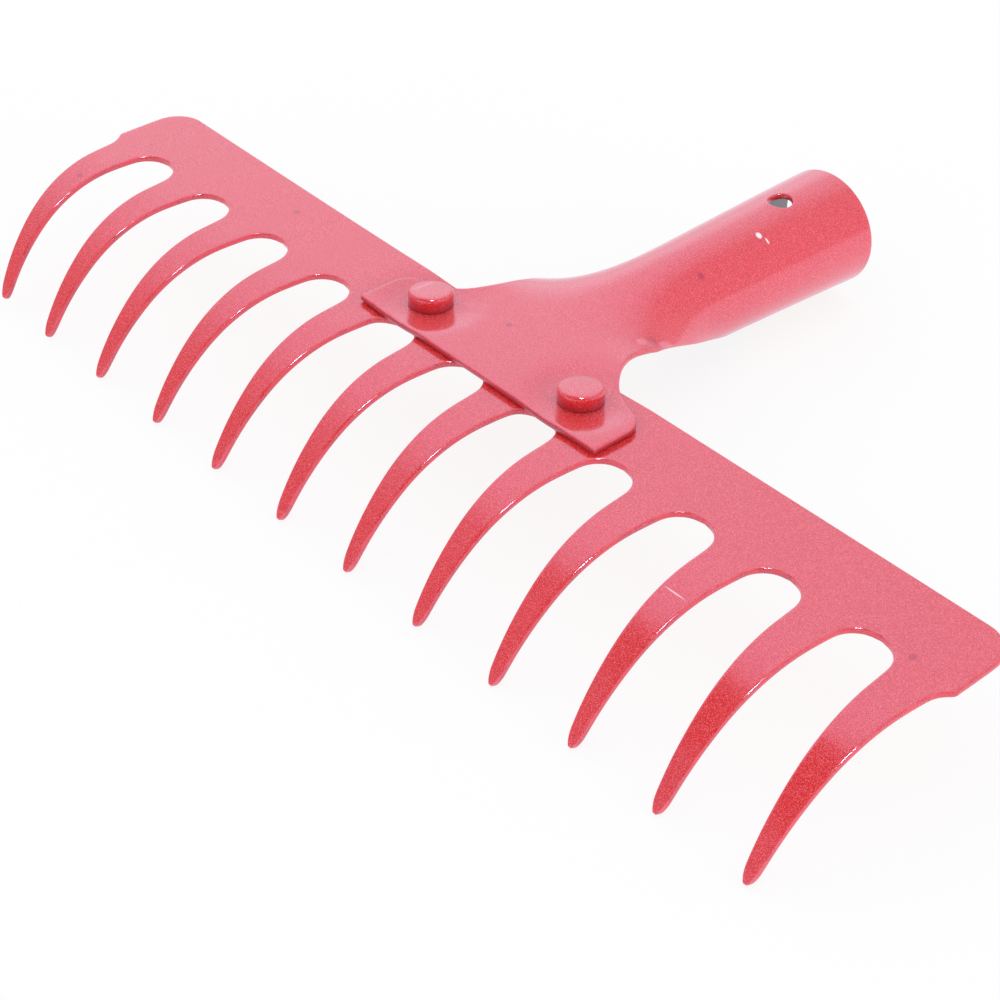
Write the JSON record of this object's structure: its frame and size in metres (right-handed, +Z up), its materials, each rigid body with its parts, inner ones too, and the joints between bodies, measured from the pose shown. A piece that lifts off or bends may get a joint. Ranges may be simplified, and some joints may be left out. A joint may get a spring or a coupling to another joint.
{
  "type": "garden rake head",
  "caption": "Garden rake head: a flat comb of curved, pointed tines on a straight blade, riveted to a pressed socket that takes a round handle.",
  "frame": {"origin": "centre of the head's footprint at ground level, where the tine tips and the rim of the socket's mouth stand on Z = 0", "axes": "+X along the blade, +Y from the tines back to the socket's mouth and the handle, +Z up from the blade's flat top"},
  "size_m": [0.3036, 0.1821, 0.0345],
  "materials": {
    "blade_paint": "gloss",
    "socket_paint": "gloss",
    "rivet_paint": "gloss"
  },
  "bodies": {
    "root": {"rake_blade": "blade_paint", "socket": "socket_paint", "rivet_left": "rivet_paint", "rivet_right": "rivet_paint"}
  },
  "joints": []
}
